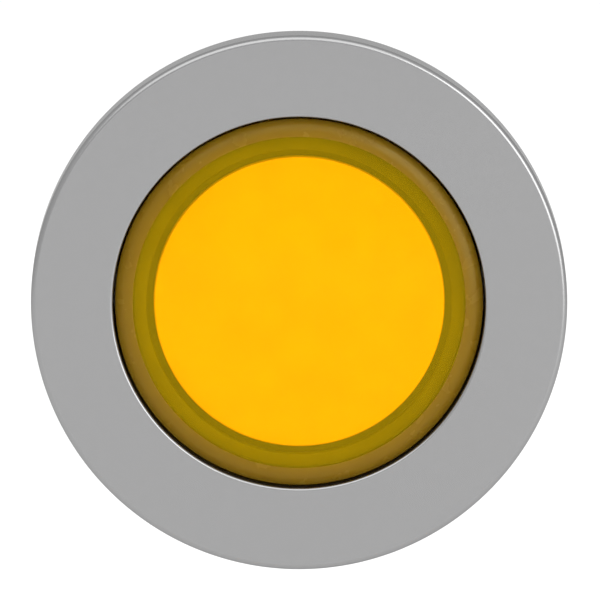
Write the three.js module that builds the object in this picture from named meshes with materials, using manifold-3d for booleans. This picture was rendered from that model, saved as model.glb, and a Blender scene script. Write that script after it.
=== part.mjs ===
// Flush-mounted illuminated push button: a flat round bezel with a translucent amber button,
// held in a 30.5 mm panel hole by a threaded barrel and ring nut, with a light and contact module behind.
// Millimetres, +Z up. The button faces -Y, and y = 0 is the panel's front face, on the button's axis.
import * as THREE from "three";
import { mergeVertices } from "three/addons/utils/BufferGeometryUtils.js";
import Module from "manifold-3d";

const wasm = await Module();
wasm.setup();

// ---- Driving dimensions -------------------------------------------------------------------------

const GAP = 0.1; // clearance between neighbouring pieces
const PIERCE = 0.5; // how far a cutting tool runs past the face it opens
const SEGMENTS = { large: 60, medium: 48, small: 32, pin: 20, hole: 12 }; // facets round a turned shape

const BEZEL_RADIUS = 18;
const BEZEL_DEPTH = 4.2; // from the panel to the bezel's front face
const BEZEL_REAR = -0.2; // the gasket stands this far proud of the bezel
const BORE_RADIUS = 12.5; // the bezel's hole around the button
const RIM_EDGE = 0.35; // broken edge round the bezel's outside
const BORE_EDGE = 0.2; // broken edge round its hole

const THREAD_RADIUS = 14.9; // M30 thread, modelled at its crest
const BARREL_LENGTH = 18.2; // behind the panel's front face
const BARREL_FRONT = -3; // the barrel's lip inside the bezel
const SHOULDER = [9, 10.6]; // inner flange that carries the return spring
const SOCKET_RADIUS = 12.6; // rear counterbore for seal, bush and module

const CAP_RADIUS = 12.35;
const CAP_FACE_RADIUS = 11.17; // flat front, inside the sloping edge
const CAP_FRONT = -4;
const CAP_SLOPE = 0.6; // axial depth of the sloping edge
const CAP_INNER_RADIUS = 11.2;
const CAP_WEB = 0.8; // thickness of the front
const CAP_REAR = 2;

const STEM_RADIUS = 8.6;
const STEM_BORE = 7.2;
const STEM_REAR = 18;
const CLIP_Y = [15.7, 16.5];

const MODULE_RADIUS = 13.4;
const MODULE_REAR = 35.3;
const MODULE_WALL = 1.1;
const BASE_RADIUS = 12.95;
const BASE = [35.4, 43.4]; // y of the base's front and rear

const TERMINAL_CIRCLE = 8.7; // radius of the circle that the six terminals stand on
const TERMINALS = [
  { name: "x1", angle: 90 },
  { name: "x2", angle: 270 },
  { name: "13", angle: 150 },
  { name: "14", angle: 210 },
  { name: "21", angle: 30 },
  { name: "22", angle: 330 },
];
const RISER = [10.9, 11.5]; // radial span of each terminal strip's riser
const RISER_HALF_WIDTH = 1.4;
const STRIP_THICKNESS = 0.6;

const CONTACT_X = 8.4; // the contact bridges run along Z at this distance from the axis
const CONTACT_Z = 4; // half the distance between a bridge's two contact tips
const TIP_HEIGHT = 0.3;
const MAKE_TRAVEL = 2.6; // travel that closes the normally open contact
const BREAK_TRAVEL = 1.5; // travel that reaches the normally closed bridge
const NO_TIP_Y = 28.4; // rear of the open bridge's tips
const NC_TIP_Y = 28.95; // front of the closed bridge's tips

const PANEL = 3; // thickness of the panel that the nut is set for
const WASHER_THICKNESS = 1;
const NUT_LENGTH = 4.5;
const NUT_RADIUS = 17;

// ---- Materials ----------------------------------------------------------------------------------

const finish = (color, roughness, metalness, extra = {}) =>
  new THREE.MeshStandardMaterial({ color, roughness, metalness, ...extra });

const MATERIALS = {
  satinChrome: finish(0xa6a6a6, 0.4, 0.85),
  zinc: finish(0x9a9c9e, 0.5, 0.8),
  rubber: finish(0x202022, 0.85, 0),
  amber: finish(0xe59a00, 0.15, 0, { transparent: true, opacity: 0.6 }),
  diffuser: finish(0xffbb00, 0.6, 0),
  black: finish(0x1c1d1f, 0.55, 0),
  grey: finish(0x8b8e90, 0.6, 0),
  green: finish(0x1f6f43, 0.55, 0),
  ledClear: finish(0xfff3d0, 0.1, 0, { transparent: true, opacity: 0.7 }),
  brass: finish(0xc9a24a, 0.35, 0.9),
  steel: finish(0xb9bcc0, 0.35, 0.9),
  spring: finish(0xc4c7ca, 0.3, 0.95),
};

// ---- Shape helpers ------------------------------------------------------------------------------

// A closed geometry as a manifold solid. A solid is passed through.
function solid(shape) {
  if (shape instanceof wasm.Manifold) return shape;
  const bare = shape.index ? shape.toNonIndexed() : shape.clone();
  bare.deleteAttribute("normal");
  bare.deleteAttribute("uv");
  const merged = mergeVertices(bare, 1e-3);
  const triVerts = new Uint32Array(merged.index.array);
  return new wasm.Manifold(
    new wasm.Mesh({ numProp: 3, vertProperties: merged.attributes.position.array, triVerts }),
  );
}

const join = (first, ...others) =>
  others.reduce((whole, other) => whole.add(solid(other)), solid(first));

const cut = (first, ...tools) =>
  tools.reduce((whole, tool) => whole.subtract(solid(tool)), solid(first));

// A solid's triangles as a geometry that a mesh can show.
function geometryOf(shape) {
  const mesh = solid(shape).getMesh();
  const geometry = new THREE.BufferGeometry();
  geometry.setAttribute("position", new THREE.BufferAttribute(mesh.vertProperties, 3));
  geometry.setIndex(new THREE.BufferAttribute(mesh.triVerts, 1));
  geometry.computeVertexNormals();
  return geometry;
}

// Turns a section of [radius, y] points round the Y axis.
// It starts and ends on the axis, or closes on itself.
function turned(section, segments) {
  const points = section.map(([radius, y]) => new THREE.Vector2(radius, y));
  const onAxis = section[0][0] === 0 && section.at(-1)[0] === 0;
  if (THREE.ShapeUtils.area(points) < 0) points.reverse();
  if (!onAxis) points.push(points[0].clone());
  return new THREE.LatheGeometry(points, segments);
}

// A plain ring or disc between two radii and two y values.
function ring([inner, outer], [front, rear], segments) {
  return turned([[inner, front], [outer, front], [outer, rear], [inner, rear]], segments);
}

function block([x0, x1], [y0, y1], [z0, z1]) {
  const box = new THREE.BoxGeometry(x1 - x0, y1 - y0, z1 - z0);
  return box.translate((x0 + x1) / 2, (y0 + y1) / 2, (z0 + z1) / 2);
}

// A round rod along Y, centred at x and z.
function rod(radius, [front, rear], segments, x = 0, z = 0) {
  const cylinder = new THREE.CylinderGeometry(radius, radius, rear - front, segments);
  return cylinder.translate(x, (front + rear) / 2, z);
}

// Moves a geometry made at angle 0, on +X, round the Y axis towards +Z.
const swing = (geometry, degrees) => geometry.rotateY(-THREE.MathUtils.degToRad(degrees));

class Helix extends THREE.Curve {
  constructor(radius, front, rear, turns) {
    super();
    Object.assign(this, { radius, front, rear, turns });
  }

  getPoint(t, target = new THREE.Vector3()) {
    const angle = 2 * Math.PI * this.turns * t;
    const y = this.front + (this.rear - this.front) * t;
    return target.set(this.radius * Math.cos(angle), y, this.radius * Math.sin(angle));
  }
}

// A coil spring round the Y axis. Its wire's outside reaches from front to rear.
function coil({ radius, wire, span: [front, rear], turns, stepsPerTurn, sides }) {
  const section = new THREE.Shape();
  section.absarc(0, 0, wire, 0, 2 * Math.PI);
  return new THREE.ExtrudeGeometry(section, {
    curveSegments: sides / 2,
    steps: Math.round(turns * stepsPerTurn),
    extrudePath: new Helix(radius, front + wire, rear - wire, turns),
  });
}

const assembly = new THREE.Group();
assembly.name = "illuminated_push_button";

function place(name, material, shape, parent = assembly) {
  const mesh = new THREE.Mesh(geometryOf(shape), material);
  mesh.name = name;
  parent.add(mesh);
  return mesh;
}

// ---- Bezel, barrel and panel fastening ------------------------------------------------------------

const GASKET = { inner: THREAD_RADIUS + 3 * GAP, outer: 16.7, depth: 1 };
const LIP_RADIUS = THREAD_RADIUS + GAP;
const BEZEL_WEB_REAR = BARREL_FRONT - GAP;

function bezelRing() {
  const front = -BEZEL_DEPTH;
  const groove = GASKET.outer + 2 * GAP;
  return turned(
    [
      [BORE_RADIUS + BORE_EDGE, front],
      [BEZEL_RADIUS - RIM_EDGE, front],
      [BEZEL_RADIUS, front + RIM_EDGE],
      [BEZEL_RADIUS, BEZEL_REAR],
      [groove, BEZEL_REAR],
      [groove, -GASKET.depth - GAP],
      [LIP_RADIUS, -GASKET.depth - GAP],
      [LIP_RADIUS, BEZEL_WEB_REAR],
      [BORE_RADIUS, BEZEL_WEB_REAR],
      [BORE_RADIUS, front + BORE_EDGE],
    ],
    SEGMENTS.large,
  );
}

const LUG = { halfWidth: 2.25, top: 16.6, span: [-0.5, 0.9] }; // locates the barrel in the hole's notch
const KEYWAY = { halfWidth: 1.6, floor: 14, front: 0.7 }; // takes the washer's tab, on the underside
const WINDOW = { halfWidth: 2.2, span: [16.2, 17.6] }; // the module's lugs snap into these, left and right

function threadedBarrel() {
  const bore = BORE_RADIUS + GAP;
  const tube = turned(
    [
      [bore, BARREL_FRONT],
      [THREAD_RADIUS, BARREL_FRONT],
      [THREAD_RADIUS, BARREL_LENGTH],
      [SOCKET_RADIUS, BARREL_LENGTH],
      [SOCKET_RADIUS, SHOULDER[1]],
      [STEM_RADIUS + 4 * GAP, SHOULDER[1]],
      [STEM_RADIUS + 4 * GAP, SHOULDER[0]],
      [bore, SHOULDER[0]],
    ],
    SEGMENTS.medium,
  );
  const lug = block([-LUG.halfWidth, LUG.halfWidth], LUG.span, [bore + 1, LUG.top]);
  const keyway = block(
    [-KEYWAY.halfWidth, KEYWAY.halfWidth],
    [KEYWAY.front, BARREL_LENGTH + PIERCE],
    [-THREAD_RADIUS - PIERCE, -KEYWAY.floor],
  );
  const reach = THREAD_RADIUS + PIERCE;
  const windows = block([-reach, reach], WINDOW.span, [-WINDOW.halfWidth, WINDOW.halfWidth]);
  return cut(join(tube, lug), keyway, windows);
}

// The gasket's rear face has a pocket that straddles the barrel's lug.
function panelGasket() {
  const pocketWidth = LUG.halfWidth + 2 * GAP;
  const pocketHeight = [GASKET.inner - PIERCE, GASKET.outer + PIERCE];
  return cut(
    ring([GASKET.inner, GASKET.outer], [-GASKET.depth, 0], SEGMENTS.medium),
    block([-pocketWidth, pocketWidth], [LUG.span[0] - GAP, PIERCE], pocketHeight),
  );
}

function lockWasher() {
  const thickness = [PANEL, PANEL + WASHER_THICKNESS];
  const flat = ring([THREAD_RADIUS + 2 * GAP, NUT_RADIUS], thickness, SEGMENTS.medium);
  const tabReach = [-THREAD_RADIUS - 1, -KEYWAY.floor - 2 * GAP];
  const tabWidth = KEYWAY.halfWidth - 2 * GAP;
  return join(flat, block([-tabWidth, tabWidth], thickness, tabReach));
}

const NUT_FRONT = PANEL + WASHER_THICKNESS + GAP;
const SPANNER = { slots: 8, halfWidth: 1.3, depth: 1.2, length: 2.6 };

function panelNut() {
  const rear = NUT_FRONT + NUT_LENGTH;
  const bevel = 0.5;
  const body = turned(
    [
      [THREAD_RADIUS + GAP, NUT_FRONT],
      [NUT_RADIUS, NUT_FRONT],
      [NUT_RADIUS, rear - bevel],
      [NUT_RADIUS - bevel, rear],
      [THREAD_RADIUS + GAP, rear],
    ],
    SEGMENTS.medium,
  );
  const slot = (index) =>
    swing(
      block(
        [NUT_RADIUS - SPANNER.depth, NUT_RADIUS + PIERCE],
        [rear - SPANNER.length, rear + PIERCE],
        [-SPANNER.halfWidth, SPANNER.halfWidth],
      ),
      (360 / SPANNER.slots) * index,
    );
  return cut(body, ...Array.from({ length: SPANNER.slots }, (_, index) => slot(index)));
}

// ---- Button ---------------------------------------------------------------------------------------

const HEAD_FRONT = CAP_FRONT + CAP_WEB + GAP; // the stem's rim and the diffuser lie just behind the cap
const DIFFUSER = { radius: 9.72, span: [HEAD_FRONT, HEAD_FRONT + 1.2] };
const SEAT = { radius: 10.07, floor: DIFFUSER.span[1] + GAP }; // the stem's recess around the diffuser
const STEM_HEAD = { radius: 11.1, span: [HEAD_FRONT, 0.6] };

function lensCap() {
  const innerFront = CAP_FRONT + CAP_WEB;
  return turned(
    [
      [0, CAP_FRONT],
      [CAP_FACE_RADIUS, CAP_FRONT],
      [CAP_RADIUS, CAP_FRONT + CAP_SLOPE],
      [CAP_RADIUS, CAP_REAR],
      [CAP_INNER_RADIUS, CAP_REAR],
      [CAP_INNER_RADIUS, innerFront],
      [0, innerFront],
    ],
    SEGMENTS.large,
  );
}

function diffuser() {
  return rod(DIFFUSER.radius, DIFFUSER.span, SEGMENTS.medium);
}

function buttonStem() {
  const groove = STEM_RADIUS - CLIP.groove;
  return turned(
    [
      [SEAT.radius, STEM_HEAD.span[0]],
      [STEM_HEAD.radius, STEM_HEAD.span[0]],
      [STEM_HEAD.radius, STEM_HEAD.span[1]],
      [STEM_RADIUS, STEM_HEAD.span[1]],
      [STEM_RADIUS, CLIP_Y[0] - GAP],
      [groove, CLIP_Y[0] - GAP],
      [groove, CLIP_Y[1] + GAP],
      [STEM_RADIUS, CLIP_Y[1] + GAP],
      [STEM_RADIUS, STEM_REAR],
      [STEM_BORE, STEM_REAR],
      [STEM_BORE, SEAT.floor],
      [SEAT.radius, SEAT.floor],
    ],
    SEGMENTS.small,
  );
}

const CLIP = { groove: 0.55, outer: 9.9, gapHalfWidth: 3 }; // an open ring in the stem's groove

function retainingClip() {
  const inner = STEM_RADIUS - CLIP.groove + GAP;
  const mouth = block(
    [-CLIP.gapHalfWidth, CLIP.gapHalfWidth],
    [CLIP_Y[0] - PIERCE, CLIP_Y[1] + PIERCE],
    [-CLIP.outer - 1, 2 - inner],
  );
  return cut(ring([inner, CLIP.outer], CLIP_Y, SEGMENTS.small), mouth);
}

function returnSpring() {
  return coil({
    radius: 10.1,
    wire: 0.35, // radius of the wire, and radius of the coil above
    span: [STEM_HEAD.span[1] + GAP, SHOULDER[0] - GAP],
    turns: 4.5,
    stepsPerTurn: 16,
    sides: 6,
  });
}

const FIT_RADIUS = SOCKET_RADIUS - 2 * GAP; // outside of what sits in the barrel's socket
const SEAL = { lip: STEM_RADIUS + GAP, lipThickness: 0.4, band: 10.6, webThickness: 0.9 };

// A rubber band round the outside, a thin web, and a lip that leans on the stem.
function wiperSeal() {
  const [front, rear] = [SHOULDER[1] + 2 * GAP, 12.8];
  return turned(
    [
      [SEAL.lip, front],
      [FIT_RADIUS, front],
      [FIT_RADIUS, rear],
      [SEAL.band, rear],
      [SEAL.band - SEAL.lipThickness, front + SEAL.webThickness],
      [SEAL.lip + SEAL.lipThickness, rear],
    ],
    SEGMENTS.small,
  );
}

function guideBush() {
  return ring([STEM_RADIUS + 1.5 * GAP, FIT_RADIUS], [13, 15.6], SEGMENTS.small);
}

// ---- Contact carrier, bridges and springs ------------------------------------------------------------

const LEG = { inner: 6.6, outer: 10, halfWidth: 1.6, front: 19 };
const BAR = { halfWidth: 0.9, halfLength: 4.9, thickness: 0.8 };
const NO_BAR = [NO_TIP_Y - TIP_HEIGHT - BAR.thickness, NO_TIP_Y - TIP_HEIGHT];
const NC_BAR = [NC_TIP_Y + TIP_HEIGHT, NC_TIP_Y + TIP_HEIGHT + BAR.thickness];
const NO_WINDOW = [24.2, NO_BAR[1] + GAP];
const TIP_RADIUS = 0.8;

function contactCarrier() {
  const collar = ring([6, STEM_BORE - GAP], [16.6, 20], SEGMENTS.small);
  const flange = solid(ring([6, 9.9], [STEM_REAR + GAP, 20.1], SEGMENTS.small)).intersect(
    solid(block([-10, 10], [STEM_REAR, 21], [-4.4, 4.4])),
  );
  const legWidth = [-LEG.halfWidth, LEG.halfWidth];
  const closedLegRear = NC_BAR[0] - BREAK_TRAVEL - GAP;
  const openLeg = block([-LEG.outer, -LEG.inner], [LEG.front, NO_WINDOW[1] + 1.2], legWidth);
  const closedLeg = block([LEG.inner, LEG.outer], [LEG.front, closedLegRear], legWidth);
  const window = block(
    [-CONTACT_X - BAR.halfWidth - GAP, -CONTACT_X + BAR.halfWidth + GAP],
    NO_WINDOW,
    [-LEG.halfWidth - PIERCE, LEG.halfWidth + PIERCE],
  );
  return cut(join(collar, flange, openLeg, closedLeg), window);
}

// A bridge bar along Z with a contact tip near each end, on the side that meets the fixed contacts.
function contactBridge(x, bar, tips) {
  const beam = block([x - BAR.halfWidth, x + BAR.halfWidth], bar, [-BAR.halfLength, BAR.halfLength]);
  const pads = [-CONTACT_Z, CONTACT_Z].map((z) => rod(TIP_RADIUS, tips, SEGMENTS.hole, x, z));
  return join(beam, ...pads);
}

function contactSpring(x, span, turns) {
  const spring = coil({ radius: 0.75, wire: 0.13, span, turns, stepsPerTurn: 10, sides: 4 });
  return spring.translate(x, 0, 0);
}

// ---- Module housing and terminal base ------------------------------------------------------------------

const HOUSING_OPENING = 10.4;
const HOUSING_WEB = [BARREL_LENGTH + GAP, 19.7];
const ASSEMBLY_SCREW = { angles: [60, 240], circle: 10.6, shank: 0.9, head: 1.7, boss: 1.9, front: 29.5 };
const BOARD = { halfWidth: 5.8, halfHeight: 9.5, span: [24.8, 26.2] };

function moduleHousing() {
  const inner = MODULE_RADIUS - MODULE_WALL;
  const spigot = SOCKET_RADIUS - GAP;
  const shell = turned(
    [
      [HOUSING_OPENING, 15.8],
      [spigot, 15.8],
      [spigot, HOUSING_WEB[0]],
      [MODULE_RADIUS, HOUSING_WEB[0]],
      [MODULE_RADIUS, MODULE_REAR],
      [inner, MODULE_REAR],
      [inner, HOUSING_WEB[1]],
      [HOUSING_OPENING, HOUSING_WEB[1]],
    ],
    SEGMENTS.medium,
  );
  const lugSpan = [WINDOW.span[0] + GAP, WINDOW.span[1] - GAP];
  const lugWidth = [-WINDOW.halfWidth + 2 * GAP, WINDOW.halfWidth - 2 * GAP];
  const lugs = [[12, 14.3], [-14.3, -12]].map((x) => block(x, lugSpan, lugWidth));
  const ledgeSpan = [BOARD.span[0] - GAP - 1, BOARD.span[0] - GAP];
  const ledges = [[2.4, 5.4], [-5.4, -2.4]].flatMap((x) =>
    [[8.4, inner - 0.5], [0.5 - inner, -8.4]].map((z) => block(x, ledgeSpan, z)),
  );
  const { angles, circle, boss, shank, front } = ASSEMBLY_SCREW;
  const bosses = angles.map((angle) =>
    swing(rod(boss, [front - 1, MODULE_REAR], SEGMENTS.pin, circle), angle),
  );
  const holes = angles.map((angle) =>
    swing(rod(shank + GAP, [front, MODULE_REAR + PIERCE], SEGMENTS.hole, circle), angle),
  );
  return cut(join(shell, ...lugs, ...ledges, ...bosses), ...holes);
}

const WELL = { radius: 2.75, floor: 37, tipHole: 35.8 };
const WIRE_SLOT = { halfWidth: 1.5, span: [38, 40.6] };
const TAB = { halfWidth: 2, span: [WELL.floor + GAP / 2, WELL.floor + GAP / 2 + 0.8] };
const CLAMP = { halfWidth: 2, span: [40.2, 41] };
const SCREW = { shank: 1.25, head: 2.2, tip: 36, seat: 41.1, top: 42.8 };
const HEAD_SEAT = 41.8; // floor of the counterbores for the assembly screws

function terminalBase() {
  const terminalCuts = TERMINALS.flatMap(({ angle }) => [
    rod(WELL.radius, [WELL.floor, BASE[1] + PIERCE], SEGMENTS.pin, TERMINAL_CIRCLE),
    rod(SCREW.shank + 2 * GAP, [WELL.tipHole, WELL.floor + PIERCE], SEGMENTS.hole, TERMINAL_CIRCLE),
    block(
      [TERMINAL_CIRCLE, BASE_RADIUS + PIERCE],
      WIRE_SLOT.span,
      [-WIRE_SLOT.halfWidth, WIRE_SLOT.halfWidth],
    ),
    block(
      [RISER[0] - GAP, RISER[1] + GAP],
      [BASE[0] - PIERCE, TAB.span[1] + GAP],
      [-RISER_HALF_WIDTH - GAP, RISER_HALF_WIDTH + GAP],
    ),
  ].map((tool) => swing(tool, angle)));
  const { angles, circle, shank, head } = ASSEMBLY_SCREW;
  const screwCuts = angles.flatMap((angle) => [
    swing(rod(shank + 1.5 * GAP, [BASE[0] - PIERCE, BASE[1] + PIERCE], SEGMENTS.hole, circle), angle),
    swing(rod(head + 2 * GAP, [HEAD_SEAT, BASE[1] + PIERCE], SEGMENTS.pin, circle), angle),
  ]);
  const bevel = 0.4;
  const disc = turned(
    [
      [0, BASE[0]],
      [BASE_RADIUS, BASE[0]],
      [BASE_RADIUS, BASE[1] - bevel],
      [BASE_RADIUS - bevel, BASE[1]],
      [0, BASE[1]],
    ],
    SEGMENTS.medium,
  );
  return cut(disc, ...terminalCuts, ...screwCuts);
}

// A screw along Y with its head at the rear and a straight slot across the head.
function slottedScrew({ shank, head, tip, seat, top, x }) {
  const slotHalfWidth = head * 0.14;
  const slotDepth = 0.7;
  const stud = rod(shank, [tip, seat + GAP], SEGMENTS.hole, x);
  const disc = rod(head, [seat, top], SEGMENTS.pin, x);
  const slot = block(
    [x - head - PIERCE, x + head + PIERCE],
    [top - slotDepth, top + PIERCE],
    [-slotHalfWidth, slotHalfWidth],
  );
  return cut(join(stud, disc), slot);
}

function assemblyScrew(angle) {
  const { circle, shank, head, front } = ASSEMBLY_SCREW;
  const shape = slottedScrew({
    shank, head, tip: front + 0.5, seat: HEAD_SEAT + GAP, top: BASE[1] - GAP, x: circle,
  });
  return swing(geometryOf(shape), angle);
}

// ---- Terminals, made at angle 0 and turned into place by their group ------------------------------------

const FOOT = { inner: 7.6, span: [BOARD.span[1] + GAP, BOARD.span[1] + GAP + STRIP_THICKNESS] };
const PAD_INNER = 7.4;
const TAB_SCREW_HOLE = screwHole(SCREW.shank + GAP, TAB.span);
const CLAMP_SCREW_HOLE = screwHole(SCREW.shank + 2 * GAP, CLAMP.span);

function screwHole(radius, [front, rear]) {
  return rod(radius, [front - PIERCE, rear + PIERCE], SEGMENTS.hole, TERMINAL_CIRCLE);
}

// A square plate with its corners rounded to clear the terminal's well.
function wellPlate({ halfWidth, span }) {
  const across = [TERMINAL_CIRCLE - halfWidth, TERMINAL_CIRCLE + halfWidth];
  const round = rod(WELL.radius - 2 * GAP, span, SEGMENTS.pin, TERMINAL_CIRCLE);
  return solid(block(across, span, [-halfWidth, halfWidth])).intersect(solid(round));
}

// A tab under the screw, a riser towards the front, and a foot that turns inwards at its front end.
function terminalStrip(footInner, [footFront, footRear]) {
  const width = [-RISER_HALF_WIDTH, RISER_HALF_WIDTH];
  const tab = join(wellPlate(TAB), block([TERMINAL_CIRCLE, RISER[1]], TAB.span, width));
  const riser = block(RISER, [footFront, TAB.span[1]], width);
  const foot = block([footInner, RISER[1]], [footFront, footRear], width);
  return join(cut(tab, TAB_SCREW_HOLE), riser, foot);
}

const NO_PAD_FRONT = NO_TIP_Y + MAKE_TRAVEL + TIP_HEIGHT;
const NO_PAD = [NO_PAD_FRONT, NO_PAD_FRONT + STRIP_THICKNESS];
const NC_PAD_REAR = NC_TIP_Y - GAP / 2 - TIP_HEIGHT;
const NC_PAD = [NC_PAD_REAR - STRIP_THICKNESS, NC_PAD_REAR];

// A contact strip is a terminal strip with a tip on its foot, where the bridge's tip meets it.
// The strips stand 30 degrees above and below the X axis, a little further round than the tips.
function contactStrip(pad, tip, angle) {
  const reach = Math.hypot(CONTACT_X, CONTACT_Z);
  const offset = THREE.MathUtils.degToRad(30) - Math.atan2(CONTACT_Z, CONTACT_X);
  const side = angle === 30 || angle === 210 ? -1 : 1;
  const at = [reach * Math.cos(offset), side * reach * Math.sin(offset)];
  return join(terminalStrip(PAD_INNER, pad), rod(TIP_RADIUS, tip, SEGMENTS.hole, ...at));
}

const STRIPS = {
  x1: () => terminalStrip(FOOT.inner, FOOT.span),
  x2: () => terminalStrip(FOOT.inner, FOOT.span),
  13: (angle) => contactStrip(NO_PAD, [NO_PAD[0] - TIP_HEIGHT, NO_PAD[1]], angle),
  14: (angle) => contactStrip(NO_PAD, [NO_PAD[0] - TIP_HEIGHT, NO_PAD[1]], angle),
  21: (angle) => contactStrip(NC_PAD, [NC_PAD[0], NC_PAD[1] + TIP_HEIGHT], angle),
  22: (angle) => contactStrip(NC_PAD, [NC_PAD[0], NC_PAD[1] + TIP_HEIGHT], angle),
};

function terminalClamp() {
  return cut(wellPlate(CLAMP), CLAMP_SCREW_HOLE);
}

function placeTerminal({ name, angle }) {
  const corner = new THREE.Group();
  corner.rotation.y = -THREE.MathUtils.degToRad(angle);
  assembly.add(corner);
  place(`terminal_strip_${name}`, MATERIALS.brass, STRIPS[name](angle), corner);
  place(`terminal_clamp_${name}`, MATERIALS.steel, terminalClamp(), corner);
  const screw = slottedScrew({ ...SCREW, x: TERMINAL_CIRCLE });
  place(`terminal_screw_${name}`, MATERIALS.steel, screw, corner);
}

// ---- Light source ---------------------------------------------------------------------------------------

const LED = { radius: 2.5, flange: 2.9, dome: 14, seat: 17.9 };

function ledLamp() {
  const steps = 6;
  const dome = Array.from({ length: steps + 1 }, (_, i) => {
    const angle = (Math.PI / 2) * (i / steps);
    return [i === 0 ? 0 : LED.radius * Math.sin(angle), LED.dome - LED.radius * Math.cos(angle)];
  });
  const flangeFront = LED.seat - 1;
  return turned(
    [...dome, [LED.radius, flangeFront], [LED.flange, flangeFront], [LED.flange, LED.seat], [0, LED.seat]],
    SEGMENTS.pin,
  );
}

function ledHolder() {
  return ring([1.2, 3.2], [LED.seat + GAP, BOARD.span[0] - GAP], SEGMENTS.pin);
}

// The board is notched to pass the housing's two screw bosses.
function ledBoard() {
  const { angles, circle, boss } = ASSEMBLY_SCREW;
  const plate = block(
    [-BOARD.halfWidth, BOARD.halfWidth],
    BOARD.span,
    [-BOARD.halfHeight, BOARD.halfHeight],
  );
  const notchSpan = [BOARD.span[0] - PIERCE, BOARD.span[1] + PIERCE];
  const notches = angles.map((angle) =>
    swing(rod(boss + 2 * GAP, notchSpan, SEGMENTS.pin, circle), angle),
  );
  return cut(plate, ...notches);
}

function ledResistor() {
  return block([-1.6, 1.6], [BOARD.span[1] + GAP, BOARD.span[1] + 1], [2.6, 4.4]);
}

// ---- Assembly -------------------------------------------------------------------------------------------

place("bezel_ring", MATERIALS.satinChrome, bezelRing());
place("threaded_barrel", MATERIALS.zinc, threadedBarrel());
place("panel_gasket", MATERIALS.rubber, panelGasket());
place("lock_washer", MATERIALS.steel, lockWasher());
place("panel_nut", MATERIALS.zinc, panelNut());

place("lens_cap", MATERIALS.amber, lensCap());
place("diffuser", MATERIALS.diffuser, diffuser());
place("button_stem", MATERIALS.grey, buttonStem());
place("retaining_clip", MATERIALS.spring, retainingClip());
place("return_spring", MATERIALS.spring, returnSpring());
place("wiper_seal", MATERIALS.rubber, wiperSeal());
place("guide_bush", MATERIALS.black, guideBush());

place("contact_carrier", MATERIALS.green, contactCarrier());
const NO_SPRING = contactSpring(-CONTACT_X, [NO_WINDOW[0] + GAP, NO_BAR[0] - GAP], 4);
const NC_SPRING = contactSpring(CONTACT_X, [NC_BAR[1] + GAP, BASE[0] - GAP], 6);
place("no_contact_bridge", MATERIALS.brass, contactBridge(-CONTACT_X, NO_BAR, [NO_BAR[0], NO_TIP_Y]));
place("nc_contact_bridge", MATERIALS.brass, contactBridge(CONTACT_X, NC_BAR, [NC_TIP_Y, NC_BAR[1]]));
place("no_contact_spring", MATERIALS.spring, NO_SPRING);
place("nc_contact_spring", MATERIALS.spring, NC_SPRING);

place("module_housing", MATERIALS.black, moduleHousing());
place("terminal_base", MATERIALS.grey, terminalBase());
ASSEMBLY_SCREW.angles.forEach((angle, index) =>
  place(`assembly_screw_${index + 1}`, MATERIALS.steel, assemblyScrew(angle)),
);
TERMINALS.forEach(placeTerminal);

place("led_lamp", MATERIALS.ledClear, ledLamp());
place("led_holder", MATERIALS.black, ledHolder());
place("led_board", MATERIALS.green, ledBoard());
place("led_resistor", MATERIALS.black, ledResistor());

export default assembly;
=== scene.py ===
"""Looks of a flush illuminated push button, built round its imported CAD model.

Lengths are in metres, in the CAD frame: +Z up, the button faces -Y, and y = 0 is the panel's front face.
"""

import math

import bmesh
import bpy
from mathutils import Matrix, Vector


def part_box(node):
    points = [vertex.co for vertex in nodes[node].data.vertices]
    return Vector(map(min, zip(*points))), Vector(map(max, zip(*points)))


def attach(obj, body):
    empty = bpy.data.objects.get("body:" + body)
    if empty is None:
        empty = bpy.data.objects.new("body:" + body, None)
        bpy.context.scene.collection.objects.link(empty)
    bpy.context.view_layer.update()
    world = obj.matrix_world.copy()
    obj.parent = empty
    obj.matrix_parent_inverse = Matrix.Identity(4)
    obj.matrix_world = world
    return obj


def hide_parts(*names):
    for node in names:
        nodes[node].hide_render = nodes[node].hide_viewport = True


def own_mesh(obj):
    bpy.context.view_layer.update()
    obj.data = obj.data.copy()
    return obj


MM = 0.001
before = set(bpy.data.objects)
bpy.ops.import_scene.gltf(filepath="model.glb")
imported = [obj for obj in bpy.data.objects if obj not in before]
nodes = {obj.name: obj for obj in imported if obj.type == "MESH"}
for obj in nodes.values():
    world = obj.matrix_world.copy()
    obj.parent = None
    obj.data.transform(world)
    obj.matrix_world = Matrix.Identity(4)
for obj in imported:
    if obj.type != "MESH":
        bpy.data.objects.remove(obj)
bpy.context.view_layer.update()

# ---- Sizes read from the frame ------------------------------------------------------------------


def span(node):
    """The y of a node's front and rear."""
    low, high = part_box(node)
    return low.y, high.y


def radius_of(node):
    """Half of a node's width."""
    low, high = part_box(node)
    return (high.x - low.x) / 2


def middle(node):
    low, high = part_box(node)
    return (low + high) / 2


# ---- Materials ----------------------------------------------------------------------------------


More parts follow.
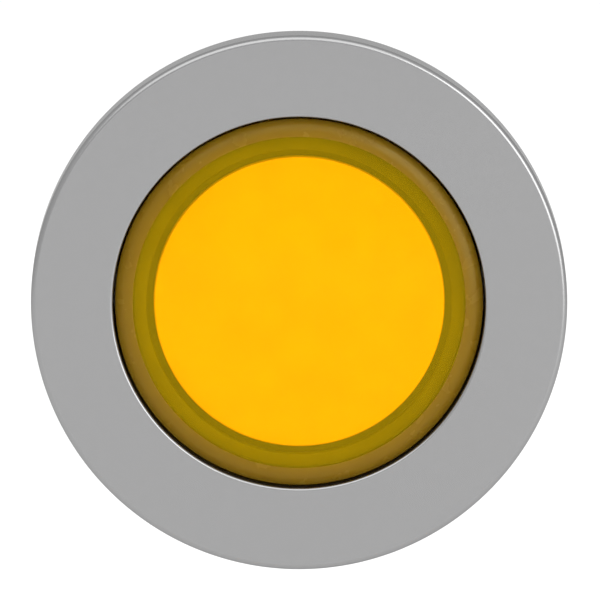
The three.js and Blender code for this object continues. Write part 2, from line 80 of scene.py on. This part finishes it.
class Surface:
    """A Principled material whose colour, roughness and relief vary with fine noise."""

    def __init__(self, name, roughness, metallic=0.0):
        self.material = bpy.data.materials.new(name)
        self.material.use_nodes = True
        self.tree = self.material.node_tree
        self.shader = self.tree.nodes["Principled BSDF"]
        self.output = self.tree.nodes["Material Output"]
        self.shader.inputs["Roughness"].default_value = roughness
        self.shader.inputs["Metallic"].default_value = metallic
        self.place = self.node("ShaderNodeTexCoord").outputs["Object"]

    def node(self, kind, **inputs):
        made = self.tree.nodes.new(kind)
        for name, value in inputs.items():
            made.inputs[name.replace("_", " ")].default_value = value
        return made

    def link(self, source, target):
        self.tree.links.new(source, target)

    def noise(self, size):
        """Noise whose features are about size metres across."""
        texture = self.node("ShaderNodeTexNoise", Scale=1 / size, Detail=3.0)
        self.link(self.place, texture.inputs["Vector"])
        return texture.outputs["Fac"]

    def ramp(self, factor, low, high, start=0.35, end=0.65):
        """A colour that runs from low to high as factor runs from start to end."""
        ramp = self.node("ShaderNodeValToRGB")
        ramp.color_ramp.elements[0].position = start
        ramp.color_ramp.elements[0].color = (*low, 1)
        ramp.color_ramp.elements[1].position = end
        ramp.color_ramp.elements[1].color = (*high, 1)
        self.link(factor, ramp.inputs["Fac"])
        return ramp.outputs["Color"]

    def colour(self, low, high, size):
        self.link(self.ramp(self.noise(size), low, high), self.shader.inputs["Base Color"])
        return self

    def vary_roughness(self, low, high, size):
        remap = self.node("ShaderNodeMapRange", From_Min=0.35, From_Max=0.65, To_Min=low, To_Max=high)
        self.link(self.noise(size), remap.inputs["Value"])
        self.link(remap.outputs["Result"], self.shader.inputs["Roughness"])
        return self

    def relief(self, size, depth):
        bump = self.node("ShaderNodeBump", Strength=0.5, Distance=depth)
        self.link(self.noise(size), bump.inputs["Height"])
        self.link(bump.outputs["Normal"], self.shader.inputs["Normal"])
        return self


def shaded(colour, change):
    """A colour made lighter or darker by a share."""
    return tuple(min(1.0, c * (1 + change)) for c in colour)


def metal(name, colour, roughness, grain=0.4 * MM, depth=0.002 * MM, change=0.04, edge=1.0):
    """Metal with a fine grain. edge scales what it reflects when looked along."""
    made = Surface(name, roughness, metallic=1.0)
    made.shader.inputs["Specular Tint"].default_value = (edge, edge, edge, 1)
    made.colour(shaded(colour, -change), shaded(colour, change), grain * 3)
    made.vary_roughness(roughness * (1 - 4 * change), roughness * (1 + 4 * change), grain)
    made.relief(grain * 0.5, depth)
    return made.material


def plastic(name, colour, roughness=0.45, grain=0.15 * MM, depth=0.008 * MM):
    made = Surface(name, roughness)
    made.colour(shaded(colour, -0.06), shaded(colour, 0.06), grain * 12)
    made.vary_roughness(roughness * 0.9, roughness * 1.12, grain * 4)
    made.relief(grain, depth)
    return made.material


def clear_plastic(name, tint, clearness=1.0, mirror=(1.0, 1.0, 1.0), roughness=0.03, scatter=0.0):
    """Tinted plastic, cloudy where clearness is under 1. Lamps shine through it onto what is behind it.

    mirror scales what the surface reflects when looked at squarely. scatter is how far light wanders
    inside the cloudy plastic before it comes out again.
    """
    cloud = 0.02
    made = Surface(name, roughness)
    if scatter:
        made.shader.inputs["Subsurface Weight"].default_value = 1.0
        made.shader.inputs["Subsurface Radius"].default_value = (1.0, 0.8, 0.4)
        made.shader.inputs["Subsurface Scale"].default_value = scatter
    made.colour(shaded(tint, -cloud), shaded(tint, cloud), 2.5 * MM)
    made.shader.inputs["Transmission Weight"].default_value = clearness
    made.shader.inputs["IOR"].default_value = 1.49
    made.shader.inputs["Specular Tint"].default_value = (*mirror, 1)
    made.vary_roughness(roughness, roughness * 2, 1.5 * MM)
    through = made.node("ShaderNodeBsdfTransparent", Color=(*[math.sqrt(c) for c in tint], 1))
    path = made.node("ShaderNodeLightPath")
    mix = made.node("ShaderNodeMixShader")
    made.link(path.outputs["Is Shadow Ray"], mix.inputs[0])
    made.link(made.shader.outputs["BSDF"], mix.inputs[1])
    made.link(through.outputs["BSDF"], mix.inputs[2])
    made.link(mix.outputs["Shader"], made.output.inputs["Surface"])
    return made.material


def light_spreader(name, colour):
    """The orange disc: matte plastic that looks the same from edge to edge, with a very fine grain."""
    made = Surface(name, 0.7)
    made.colour(shaded(colour, -0.004), shaded(colour, 0.004), 0.3 * MM)
    made.vary_roughness(0.66, 0.74, 0.4 * MM)
    made.relief(0.1 * MM, 0.002 * MM)
    return made.material


def circuit_board(name):
    """Green solder resist with paler lines where tracks run under it."""
    made = Surface(name, 0.35)
    tracks = made.node("ShaderNodeTexWave", Scale=260.0, Distortion=1.5, Detail=1.0)
    made.link(made.place, tracks.inputs["Vector"])
    made.link(
        made.ramp(tracks.outputs["Fac"], (0.012, 0.13, 0.05), (0.03, 0.22, 0.08), 0.6, 0.7),
        made.shader.inputs["Base Color"],
    )
    made.relief(0.3 * MM, 0.004 * MM)
    return made.material


STEEL_COLOUR = (0.62, 0.63, 0.65)
MATERIALS = {
    "satin_chrome": metal(
        "satin_chrome",
        (0.287, 0.287, 0.288),
        0.26,
        grain=0.12 * MM,
        depth=0.0002 * MM,
        change=0.01,
        edge=0.6,
    ),
    "zinc": metal("cast_zinc", (0.47, 0.48, 0.49), 0.42, grain=0.3 * MM, depth=0.006 * MM),
    "steel": metal("plated_steel", STEEL_COLOUR, 0.28),
    "spring_steel": metal("spring_wire", (0.66, 0.67, 0.69), 0.22, grain=0.2 * MM),
    "contact_brass": metal("contact_brass", (0.80, 0.58, 0.22), 0.27, grain=0.5 * MM),
    "rubber": plastic("nitrile_rubber", (0.018, 0.018, 0.019), 0.75, grain=0.2 * MM, depth=0.012 * MM),
    "amber_lens": clear_plastic(
        "amber_lens", (0.92, 0.68, 0.006), clearness=0.905, mirror=(0.2, 0.15, 0.03)
    ),
    # Painted shade: the lens's sloping edge and skirt get a darker, browner copy of the amber plastic,
    # cloudy and scattering light inside it.
    "amber_edge_painted_shade": clear_plastic(
        "amber_edge_painted_shade",
        (0.21, 0.118, 0.005),
        clearness=0.05,
        mirror=(0.3, 0.3, 0.2),
        roughness=0.15,
        scatter=2.0 * MM,
    ),
    "diffuser": light_spreader("orange_diffuser", (0.98, 0.585, 0.006)),
    "grey_plastic": plastic("grey_plastic", (0.32, 0.33, 0.33)),
    # Painted shade: the plunger is painted near black instead of its grey plastic, for the shade on its rim
    # behind the lens.
    "stem_painted_shade": plastic("stem_painted_shade", (0.06, 0.061, 0.063)),
    "black_plastic": plastic("black_plastic", (0.022, 0.022, 0.024), 0.42),
    "green_plastic": plastic("green_plastic", (0.03, 0.20, 0.08), 0.40),
    "circuit_board": circuit_board("circuit_board"),
    "led_clear": clear_plastic("led_epoxy", (1.0, 0.96, 0.85)),
}

# ---- Mesh tools ---------------------------------------------------------------------------------


def smoothing_tree():
    """Geometry nodes that shade a mesh smooth and keep edges over 30 degrees sharp."""
    tree = bpy.data.node_groups.new("smooth_by_angle", "GeometryNodeTree")
    tree.interface.new_socket("Geometry", in_out="INPUT", socket_type="NodeSocketGeometry")
    tree.interface.new_socket("Geometry", in_out="OUTPUT", socket_type="NodeSocketGeometry")
    start = tree.nodes.new("NodeGroupInput")
    end = tree.nodes.new("NodeGroupOutput")
    angle = tree.nodes.new("GeometryNodeInputMeshEdgeAngle")
    blunt = tree.nodes.new("FunctionNodeCompare")
    blunt.operation = "LESS_THAN"
    blunt.inputs[1].default_value = math.radians(30)
    faces = tree.nodes.new("GeometryNodeSetShadeSmooth")
    edges = tree.nodes.new("GeometryNodeSetShadeSmooth")
    edges.domain = "EDGE"
    links = tree.links
    links.new(angle.outputs["Unsigned Angle"], blunt.inputs[0])
    links.new(start.outputs[0], faces.inputs["Geometry"])
    links.new(faces.outputs["Geometry"], edges.inputs["Geometry"])
    links.new(blunt.outputs["Result"], edges.inputs["Shade Smooth"])
    links.new(edges.outputs["Geometry"], end.inputs[0])
    return tree


SMOOTHING = smoothing_tree()


def finish_edges(piece, edge, segments=2):
    """Rounds a piece's sharp edges by a radius and shades it smooth."""
    if edge:
        bevel = piece.modifiers.new("edges", "BEVEL")
        bevel.width = edge
        bevel.segments = segments
        bevel.limit_method = "ANGLE"
        bevel.angle_limit = math.radians(30)
        bevel.use_clamp_overlap = True
    piece.modifiers.new("smooth", "NODES").node_group = SMOOTHING
    even = piece.modifiers.new("even", "WEIGHTED_NORMAL")
    even.keep_sharp = True


def piece_from(name, mesh, slot, material=None):
    """A new object with that mesh, painted for a slot."""
    if isinstance(mesh, bmesh.types.BMesh):
        bmesh.ops.recalc_face_normals(mesh, faces=mesh.faces)
        data = bpy.data.meshes.new(name)
        mesh.to_mesh(data)
        mesh.free()
        mesh = data
    piece = bpy.data.objects.new(name, mesh)
    bpy.context.scene.collection.objects.link(piece)
    piece.data.materials.append(MATERIALS[material or slot])
    return piece


def settle(piece, body, *replaced, edge=0.0, segments=2):
    """Gives a piece its edges, its body and the CAD nodes that it stands for."""
    finish_edges(piece, edge, segments)
    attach(piece, body)
    if replaced:
        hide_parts(*replaced)
    return piece


def turned(section, segments=160):
    """Turns a section of (radius, y) points round the Y axis.

    The section starts and ends on the axis, or closes on itself.
    """
    mesh = bmesh.new()
    rings = []
    for radius, y in section:
        if radius == 0:
            rings.append([mesh.verts.new((0, y, 0))])
            continue
        angles = [2 * math.pi * i / segments for i in range(segments)]
        rings.append([mesh.verts.new((radius * math.cos(a), y, radius * math.sin(a))) for a in angles])
    open_ended = section[0][0] == 0 and section[-1][0] == 0
    pairs = list(zip(rings, rings[1:]))
    if not open_ended:
        pairs.append((rings[-1], rings[0]))
    for first, second in pairs:
        for i in range(segments):
            j = (i + 1) % segments
            corners = [
                first[i % len(first)],
                first[j % len(first)],
                second[j % len(second)],
                second[i % len(second)],
            ]
            mesh.faces.new(dict.fromkeys(corners))
    return mesh


def rounded_corner(radius, y, rounding, start, steps=6):
    """Section points round a square outer corner, a quarter turn on from the angle start in degrees."""
    turn = [math.radians(start + 90 * i / steps) for i in range(steps + 1)]
    inward = 1 if start == 180 else -1
    centre = (radius + inward * rounding, y + rounding)
    return [(centre[0] + rounding * math.cos(a), centre[1] + rounding * math.sin(a)) for a in turn]


def ring(inner, outer, front, rear, segments=160):
    return turned([(inner, front), (outer, front), (outer, rear), (inner, rear)], segments)


def rod(radius, front, rear, x=0.0, z=0.0, segments=48):
    mesh = turned([(0, front), (radius, front), (radius, rear), (0, rear)], segments)
    bmesh.ops.translate(mesh, vec=(x, 0, z), verts=mesh.verts)
    return mesh


def block(x, y, z):
    """A box between two limits on each axis."""
    mesh = bmesh.new()
    size = Vector((x[1] - x[0], y[1] - y[0], z[1] - z[0]))
    centre = Vector(((x[0] + x[1]) / 2, (y[0] + y[1]) / 2, (z[0] + z[1]) / 2))
    bmesh.ops.create_cube(mesh, size=1, matrix=Matrix.Translation(centre) @ Matrix.Diagonal((*size, 1)))
    return mesh


def swing(mesh, degrees):
    """Turns a mesh made at angle 0, on +X, round the Y axis towards +Z."""
    bmesh.ops.rotate(mesh, verts=mesh.verts, matrix=Matrix.Rotation(-math.radians(degrees), 3, "Y"))
    return mesh


def combine(base, tools, operation):
    """A mesh cut by, or joined to, each of the tools."""
    mesh_data = []
    objects = []
    for index, shape in enumerate([base, *tools]):
        bmesh.ops.recalc_face_normals(shape, faces=shape.faces)
        data = bpy.data.meshes.new(f"tool_{index}")
        shape.to_mesh(data)
        shape.free()
        made = bpy.data.objects.new(f"tool_{index}", data)
        bpy.context.scene.collection.objects.link(made)
        mesh_data.append(data)
        objects.append(made)
    for tool in objects[1:]:
        boolean = objects[0].modifiers.new("combine", "BOOLEAN")
        boolean.operation = operation
        boolean.solver = "EXACT"
        boolean.object = tool
    shown = objects[0].evaluated_get(bpy.context.evaluated_depsgraph_get())
    result = bmesh.new()
    result.from_mesh(bpy.data.meshes.new_from_object(shown))
    for made in objects:
        bpy.data.objects.remove(made)
    for data in mesh_data:
        bpy.data.meshes.remove(data)
    bmesh.ops.remove_doubles(result, verts=result.verts, dist=0.0005 * MM)
    bmesh.ops.dissolve_limit(result, angle_limit=math.radians(0.5), verts=result.verts, edges=result.edges)
    return result


def cut(base, *tools):
    return combine(base, tools, "DIFFERENCE")


def join(base, *tools):
    return combine(base, tools, "UNION")


def helix_tube(radius, wire, front, rear, turns, closed_turns=1.0, steps_per_turn=48, sides=14):
    """A coil spring round the Y axis, with its end turns closed up."""
    mesh = bmesh.new()
    steps = int(turns * steps_per_turn)
    low, high = front + wire, rear - wire
    open_turns = turns - 2 * closed_turns
    dead = 2 * wire * closed_turns
    pitch = (high - low - 2 * dead) / open_turns

    def height(turn):
        if turn < closed_turns:
            return low + dead * turn / closed_turns
        if turn > turns - closed_turns:
            return high - dead * (turns - turn) / closed_turns
        return low + dead + pitch * (turn - closed_turns)

    rings = []
    for step in range(steps + 1):
        turn = turns * step / steps
        angle = 2 * math.pi * turn
        outward = Vector((math.cos(angle), 0, math.sin(angle)))
        centre = outward * radius + Vector((0, height(turn), 0))
        around = [2 * math.pi * i / sides for i in range(sides)]
        rings.append([
            mesh.verts.new(centre + outward * wire * math.cos(a) + Vector((0, wire * math.sin(a), 0)))
            for a in around
        ])
    for first, second in zip(rings, rings[1:]):
        for i in range(sides):
            j = (i + 1) % sides
            mesh.faces.new((first[i], first[j], second[j], second[i]))
    mesh.faces.new(rings[0])
    mesh.faces.new(rings[-1])
    return mesh


# ---- Bezel and button ---------------------------------------------------------------------------

bezel_front, bezel_rear = span("bezel_ring")
BEZEL_RADIUS = radius_of("bezel_ring")
LENS_RADIUS = radius_of("lens_cap")
BARREL_CREST = radius_of("threaded_barrel")
barrel_front, barrel_rear = span("threaded_barrel")
BORE = LENS_RADIUS + 0.15 * MM


def make_bezel():
    """The flat ring, with its rounded rims, the step that takes the barrel and the gasket's groove."""
    web_rear = barrel_front - 0.1 * MM
    groove_floor = span("panel_gasket")[0] - 0.1 * MM
    groove = radius_of("panel_gasket") + 0.2 * MM
    lip = BARREL_CREST + 0.1 * MM
    section = [
        *rounded_corner(BORE, bezel_front, 0.2 * MM, 180),
        *rounded_corner(BEZEL_RADIUS, bezel_front, 0.35 * MM, 270),
        (BEZEL_RADIUS, bezel_rear),
        (groove, bezel_rear),
        (groove, groove_floor),
        (lip, groove_floor),
        (lip, web_rear),
        (BORE, web_rear),
    ]
    piece = piece_from("bezel", turned(section, 256), "satin_chrome")
    return settle(piece, "head", "bezel_ring", edge=0.08 * MM)


def make_lens():
    """The amber cap: a flat front, a sloping edge and a skirt.

    Its edge and skirt carry painted shade: a cloudier, darker and browner copy of the front's amber
    plastic.
    """
    front, rear = span("lens_cap")
    face = 11.17 * MM
    slope = 0.6 * MM
    inner = 11.2 * MM
    web = front + 0.8 * MM
    section = [
        (0, front),
        (face, front),
        (LENS_RADIUS, front + slope),
        (LENS_RADIUS, rear),
        (inner, rear),
        (inner, web),
        (0, web),
    ]
    mesh = turned(section, 256)
    # Faces outside the flat front take the painted-shade copy of the amber plastic.
    for wall in mesh.faces:
        middle_of_wall = wall.calc_center_median()
        wall.material_index = int(math.hypot(middle_of_wall.x, middle_of_wall.z) > face * 0.99)
    piece = piece_from("lens", mesh, "amber_lens")
    piece.data.materials.append(MATERIALS["amber_edge_painted_shade"])
    return settle(piece, "button", "lens_cap", edge=0.05 * MM, segments=3)


def make_diffuser():
    """The orange disc behind the lens, with a softly rounded rim."""
    front, rear = span("diffuser")
    radius = radius_of("diffuser")
    section = [(0, front), (radius, front), (radius, rear), (0, rear)]
    piece = piece_from("light_diffuser", turned(section, 192), "diffuser")
    return settle(piece, "button", "diffuser", edge=0.12 * MM, segments=3)


def make_stem():
    """The plunger: a rim round the disc, a seat, and a long tube with the clip's groove. Its grey plastic
    is painted near black: painted shade on the rim behind the lens.
    """
    front, rear = span("button_stem")
    clip_front, clip_rear = span("retaining_clip")
    head = radius_of("button_stem")
    seat = radius_of("diffuser") + 0.5 * MM
    floor = span("diffuser")[1] + 0.1 * MM
    tube = 8.6 * MM
    bore = 7.2 * MM
    groove = tube - 0.55 * MM
    flange_rear = span("return_spring")[0] - 0.1 * MM
    section = [
        (seat, front),
        (head, front),
        (head, flange_rear),
        (tube, flange_rear),
        (tube, clip_front - 0.1 * MM),
        (groove, clip_front - 0.1 * MM),
        (groove, clip_rear + 0.1 * MM),
        (tube, clip_rear + 0.1 * MM),
        (tube, rear),
        (bore, rear),
        (bore, floor),
        (seat, floor),
    ]
    # Painted near black as painted shade, in place of the grey slot's colour.
    piece = piece_from("stem", turned(section, 128), "grey_plastic", material="stem_painted_shade")
    return settle(piece, "button", "button_stem", edge=0.1 * MM)


make_bezel()
make_lens()
make_diffuser()
make_stem()

# ---- Barrel, gasket, washer and nut -------------------------------------------------------------

THREAD_PITCH = 1.5 * MM
THREAD_DEPTH = 0.75 * MM
THREAD_FRONT = 1.3 * MM
KEYWAY_HALF = 1.6 * MM
KEYWAY_FLOOR = 14.0 * MM
LUG_HALF = 2.25 * MM
BARREL_BORE = LENS_RADIUS + 0.25 * MM


def thread_height(y, angle, front, rear):
    """How far the thread stands at a point, from 0 at the root to 1 at the crest. It fades at both ends."""
    phase = (y / THREAD_PITCH - angle / (2 * math.pi)) % 1
    crest_height = 1.35  # over 1, so that the crest is cut flat
    flank_slope = 3.4
    ridge = min(1.0, max(0.0, crest_height - abs(phase - 0.5) * flank_slope))
    fade = min(1.0, (y - front) / THREAD_PITCH, (rear - y) / THREAD_PITCH)
    return ridge * max(0.0, fade)


def threaded_tube(root, crest, bore, plain_front, front, rear, segments=144, steps_per_pitch=8):
    """A tube with a helical thread outside, from front to rear, and a plain crest-size neck ahead of it."""
    mesh = bmesh.new()
    steps = int((rear - front) / THREAD_PITCH * steps_per_pitch)
    rows = [front + (rear - front) * i / steps for i in range(steps + 1)]
    angles = [2 * math.pi * i / segments for i in range(segments)]

    def circle(radius_at, y):
        return [mesh.verts.new((radius_at(a) * math.cos(a), y, radius_at(a) * math.sin(a))) for a in angles]

    rings = [circle(lambda a: bore, plain_front), circle(lambda a: crest, plain_front)]
    rings.append(circle(lambda a: crest, front - 0.2 * MM))
    for y in rows:
        rings.append(circle(lambda a: root + (crest - root) * thread_height(y, a, front, rear), y))
    rings.append(circle(lambda a: bore, rear))
    for first, second in zip(rings, rings[1:] + rings[:1]):
        for i in range(segments):
            j = (i + 1) % segments
            mesh.faces.new((first[i], first[j], second[j], second[i]))
    return mesh


def make_barrel():
    """The threaded barrel with its keyway, locating lug, module windows and the spring's shoulder."""
    root = BARREL_CREST - THREAD_DEPTH
    tube = threaded_tube(root, BARREL_CREST, BARREL_BORE, barrel_front, THREAD_FRONT, barrel_rear)
    shoulder_front = span("return_spring")[1] + 0.1 * MM
    seal_front = span("wiper_seal")[0] - 0.2 * MM
    stem_hole = 9.0 * MM
    shoulder = ring(stem_hole, BARREL_BORE + 0.4 * MM, shoulder_front, seal_front)
    reach = BARREL_CREST + 1 * MM
    keyway_span = (0.7 * MM, barrel_rear + 1 * MM)
    keyway = block((-KEYWAY_HALF, KEYWAY_HALF), keyway_span, (-reach, -KEYWAY_FLOOR))
    window_span = (16.2 * MM, 17.6 * MM)
    window_half = 2.2 * MM
    windows = block((-reach, reach), window_span, (-window_half, window_half))
    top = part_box("threaded_barrel")[1].z
    lug_span = (-0.5 * MM, 0.9 * MM)
    lug = block((-LUG_HALF, LUG_HALF), lug_span, (BARREL_BORE + 1 * MM, top))
    shape = cut(join(tube, shoulder, lug), keyway, windows)
    piece = piece_from("barrel", shape, "zinc")
    return settle(piece, "head", "threaded_barrel")


def make_gasket():
    front, rear = span("panel_gasket")
    outer = radius_of("panel_gasket")
    inner = BARREL_CREST + 0.3 * MM
    half = LUG_HALF + 0.2 * MM
    pocket_span = (-0.6 * MM, 1 * MM)
    pocket = block((-half, half), pocket_span, (inner - 1 * MM, outer + 1 * MM))
    piece = piece_from("gasket", cut(ring(inner, outer, front, rear), pocket), "rubber")
    return settle(piece, "head", "panel_gasket", edge=0.12 * MM)


def make_washer():
    """The toothed lock washer: its inner tab rides in the keyway, and small radial teeth bite the panel."""
    front, rear = span("lock_washer")
    outer = radius_of("lock_washer")
    inner = BARREL_CREST + 0.2 * MM
    tab = block(
        (0.2 * MM - KEYWAY_HALF, KEYWAY_HALF - 0.2 * MM),
        (front, rear),
        (-inner - 0.6 * MM, -KEYWAY_FLOOR - 0.2 * MM),
    )
    groove_count = 36
    groove_depth = 0.12 * MM
    groove_half = 0.25 * MM
    across = (inner - 1 * MM, outer + 1 * MM)
    along = (front - 1 * MM, front + groove_depth)
    grooves = [
        swing(block(across, along, (-groove_half, groove_half)), 360 / groove_count * (i + 0.5))
        for i in range(groove_count)
    ]
    piece = piece_from("washer", cut(join(ring(inner, outer, front, rear), tab), *grooves), "steel")
    return settle(piece, "washer", "lock_washer", edge=0.05 * MM)


def make_nut():
    """The ring nut: spanner slots round its rear, a bevelled rim and a threaded bore."""
    front, rear = span("panel_nut")
    outer = radius_of("panel_nut")
    inner = BARREL_CREST + 0.1 * MM
    bevel = 0.5 * MM
    thread_turns = int((rear - front - 0.8 * MM) / THREAD_PITCH)
    bore = [(inner, rear)]
    for turn in range(thread_turns):
        y = rear - 0.4 * MM - turn * THREAD_PITCH
        bore += [(inner, y), (inner + 0.35 * MM, y - THREAD_PITCH * 0.4), (inner, y - THREAD_PITCH * 0.8)]
    section = [(inner, front), (outer, front), (outer, rear - bevel), (outer - bevel, rear), *bore]
    slot_count = 8
    slot_half = 1.3 * MM
    across = (outer - 1.2 * MM, outer + 1 * MM)
    along = (rear - 2.6 * MM, rear + 1 * MM)
    slots = [
        swing(block(across, along, (-slot_half, slot_half)), 360 / slot_count * i)
        for i in range(slot_count)
    ]
    piece = piece_from("ring_nut", cut(turned(section), *slots), "zinc")
    return settle(piece, "nut", "panel_nut", edge=0.12 * MM)


make_barrel()
make_gasket()
make_washer()
make_nut()

# ---- Springs, clip and seal ---------------------------------------------------------------------


def make_return_spring():
    front, rear = span("return_spring")
    coil_radius = 10.1 * MM
    wire_radius = 0.35 * MM
    shape = helix_tube(coil_radius, wire_radius, front, rear, turns=4.5)
    piece = settle(piece_from("coil_return", shape, "spring_steel"), "head", "return_spring")
    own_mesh(piece)


def make_contact_spring(node, name, body, turns):
    """A small contact spring that shortens by closing at the button's full stroke."""
    front, rear = span(node)
    centre = middle(node)
    coil_radius = 0.75 * MM
    wire_radius = 0.13 * MM
    shape = helix_tube(coil_radius, wire_radius, front, rear, turns, steps_per_turn=24, sides=8)
    bmesh.ops.translate(shape, vec=(centre.x, 0, 0), verts=shape.verts)
    piece = settle(piece_from(name, shape, "spring_steel"), body, node)
    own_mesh(piece)


def make_seal():
    """The rubber wiper: an outer band and a thin lip that leans on the stem."""
    front, rear = span("wiper_seal")
    outer = radius_of("wiper_seal")
    lip = 8.7 * MM
    band_inner = 10.6 * MM
    fold_radius = 10.2 * MM
    fold_depth = 0.9 * MM
    section = [
        (lip, front),
        (outer, front),
        (outer, rear),
        (band_inner, rear),
        (fold_radius, front + fold_depth),
        (lip + 0.4 * MM, rear),
    ]
    piece = piece_from("lip_seal", turned(section, 128), "rubber")
    settle(piece, "head", "wiper_seal", edge=0.08 * MM)


make_return_spring()
make_contact_spring("no_contact_spring", "coil_no", "button", 5)
make_contact_spring("nc_contact_spring", "coil_nc", "head", 7)
make_seal()

# ---- CAD nodes that keep their shape --------------------------------------------------------------


def dress(node, slot, edge):
    """Paints a CAD node and rounds its edges. Its own mesh stays as it is."""
    shown = nodes[node]
    shown.data.materials.clear()
    shown.data.materials.append(MATERIALS[slot])
    weld = shown.modifiers.new("weld", "WELD")
    weld.merge_threshold = 0.0005 * MM
    flat = shown.modifiers.new("flat", "DECIMATE")
    flat.decimate_type = "DISSOLVE"
    flat.angle_limit = math.radians(0.5)
    finish_edges(shown, edge)


TERMINALS = ["x1", "x2", "13", "14", "21", "22"]
DRESSED = {
    "retaining_clip": ("spring_steel", 0.06),
    "guide_bush": ("black_plastic", 0.12),
    "contact_carrier": ("green_plastic", 0.12),
    "no_contact_bridge": ("contact_brass", 0.06),
    "nc_contact_bridge": ("contact_brass", 0.06),
    "module_housing": ("black_plastic", 0.15),
    "terminal_base": ("grey_plastic", 0.15),
    "assembly_screw_1": ("steel", 0.08),
    "assembly_screw_2": ("steel", 0.08),
    "led_lamp": ("led_clear", 0.05),
    "led_holder": ("black_plastic", 0.1),
    "led_board": ("circuit_board", 0.05),
    "led_resistor": ("black_plastic", 0.08),
}
for terminal in TERMINALS:
    DRESSED[f"terminal_strip_{terminal}"] = ("contact_brass", 0.06)
    DRESSED[f"terminal_clamp_{terminal}"] = ("steel", 0.08)
    DRESSED[f"terminal_screw_{terminal}"] = ("steel", 0.1)
for node, (slot, edge) in DRESSED.items():
    dress(node, slot, edge * MM)

# ---- Stage, lights and camera ---------------------------------------------------------------------


def make_floor():
    """A pale floor below the part, which a panel would really hold."""
    size = 1.2
    height = -0.04
    mesh = bmesh.new()
    bmesh.ops.create_grid(mesh, x_segments=1, y_segments=1, size=size)
    bmesh.ops.translate(mesh, vec=(0, 0, height), verts=mesh.verts)
    data = bpy.data.meshes.new("floor")
    mesh.to_mesh(data)
    mesh.free()
    floor = bpy.data.objects.new("floor", data)
    bpy.context.scene.collection.objects.link(floor)
    paint = Surface("floor_paint", 0.9)
    paint.colour((0.92, 0.92, 0.92), (0.94, 0.94, 0.94), 50 * MM)
    data.materials.append(paint.material)


def softbox(name, off_axis, around, reach, width, height, radiance):
    """A rectangular area light that faces the part.

    It stands off_axis degrees from straight in front of the part, and around degrees from the right
    over the top. width is its size round the part's axis. radiance is its brightness beside a white
    surface's 1.
    """
    tilt = math.radians(off_axis)
    turn = math.radians(around)
    away = Vector((math.sin(tilt) * math.cos(turn), -math.cos(tilt), math.sin(tilt) * math.sin(turn)))
    across = Vector((0, 1, 0)).cross(away).normalized()
    lamp = bpy.data.lights.new(name, "AREA")
    lamp.shape = "RECTANGLE"
    lamp.size = width
    lamp.size_y = height
    lamp.energy = radiance * math.pi * width * height
    light = bpy.data.objects.new(name, lamp)
    facing = Matrix((across, away.cross(across), away)).transposed()
    light.matrix_world = Matrix.Translation(away * reach) @ facing.to_4x4()
    bpy.context.scene.collection.objects.link(light)


def light_the_scene():
    """White surroundings, a bright softbox at the right and a bigger, softer one over the top."""
    world = bpy.data.worlds.new("studio")
    bpy.context.scene.world = world
    world.use_nodes = True
    background = world.node_tree.nodes["Background"]
    background.inputs["Color"].default_value = (1.0, 1.0, 1.0, 1)
    background.inputs["Strength"].default_value = 0.95
    softbox("key", off_axis=42, around=28, reach=1.3, width=0.95, height=0.87, radiance=3.2)
    softbox("top", off_axis=52, around=98, reach=1.3, width=1.5, height=1.2, radiance=1.5)


def place_camera():
    """A long lens level with the bezel's middle, looking down a little, as the photograph does."""
    elevation = math.radians(5.5)
    lens = 1400
    sensor = 36
    bezel_share = 0.89433333  # of the picture's width
    frame_width = 2 * BEZEL_RADIUS / bezel_share
    distance = frame_width * lens / sensor
    target = Vector((0.06 * MM, bezel_front, 0.205 * MM))
    back = Vector((0, -math.cos(elevation), math.sin(elevation)))
    camera_data = bpy.data.cameras.new("camera")
    camera_data.lens = lens
    camera_data.sensor_width = sensor
    camera_data.clip_start = 0.05
    camera_data.clip_end = 10
    camera = bpy.data.objects.new("camera", camera_data)
    camera.location = target + back * distance
    camera.rotation_euler = (-back).to_track_quat("-Z", "Y").to_euler()
    bpy.context.scene.collection.objects.link(camera)
    bpy.context.scene.camera = camera


make_floor()
light_the_scene()
place_camera()
bpy.context.scene.view_settings.view_transform = "Standard"
